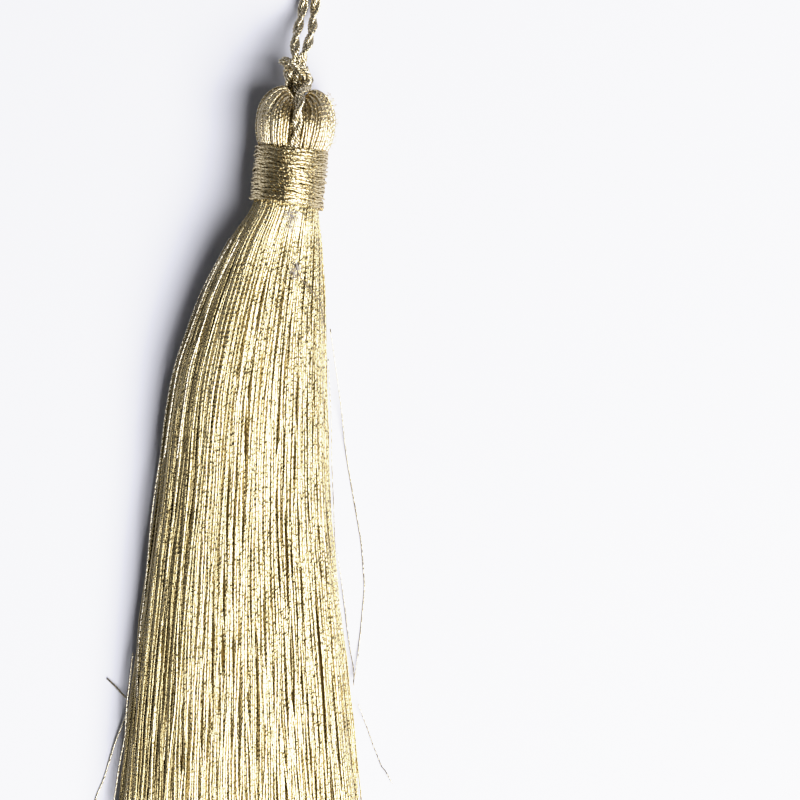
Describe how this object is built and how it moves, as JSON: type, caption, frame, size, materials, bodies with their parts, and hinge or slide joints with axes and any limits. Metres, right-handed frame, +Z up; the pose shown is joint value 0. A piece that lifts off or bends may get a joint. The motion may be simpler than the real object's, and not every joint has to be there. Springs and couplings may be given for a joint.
{
  "type": "metallic thread tassel",
  "caption": "Metallic thread tassel lying flat: creased round head over a twisted hanging cord, wound neck band, overhand knot and a long spreading cut skirt.",
  "frame": {"origin": "on the surface that the tassel lies on, at the middle of its box without the hanging loop", "axes": "+Y along the tassel from the skirt's cut end to the knot, +Z up from the surface"},
  "size_m": [0.0526, 0.2197, 0.0161],
  "materials": {
    "pale_gold_thread": "shiny metal-wrapped thread, pale gold",
    "wound_gold_thread": "shiny metal-wrapped thread, wound close, pale gold",
    "cord_gold_thread": "two-ply twisted cord of metal-wrapped thread, pale gold"
  },
  "bodies": {
    "root": {"hank": "pale_gold_thread", "neck_binding": "wound_gold_thread", "saddle_cord": "cord_gold_thread", "knot": "cord_gold_thread", "hanging_loop": "cord_gold_thread"}
  },
  "joints": []
}
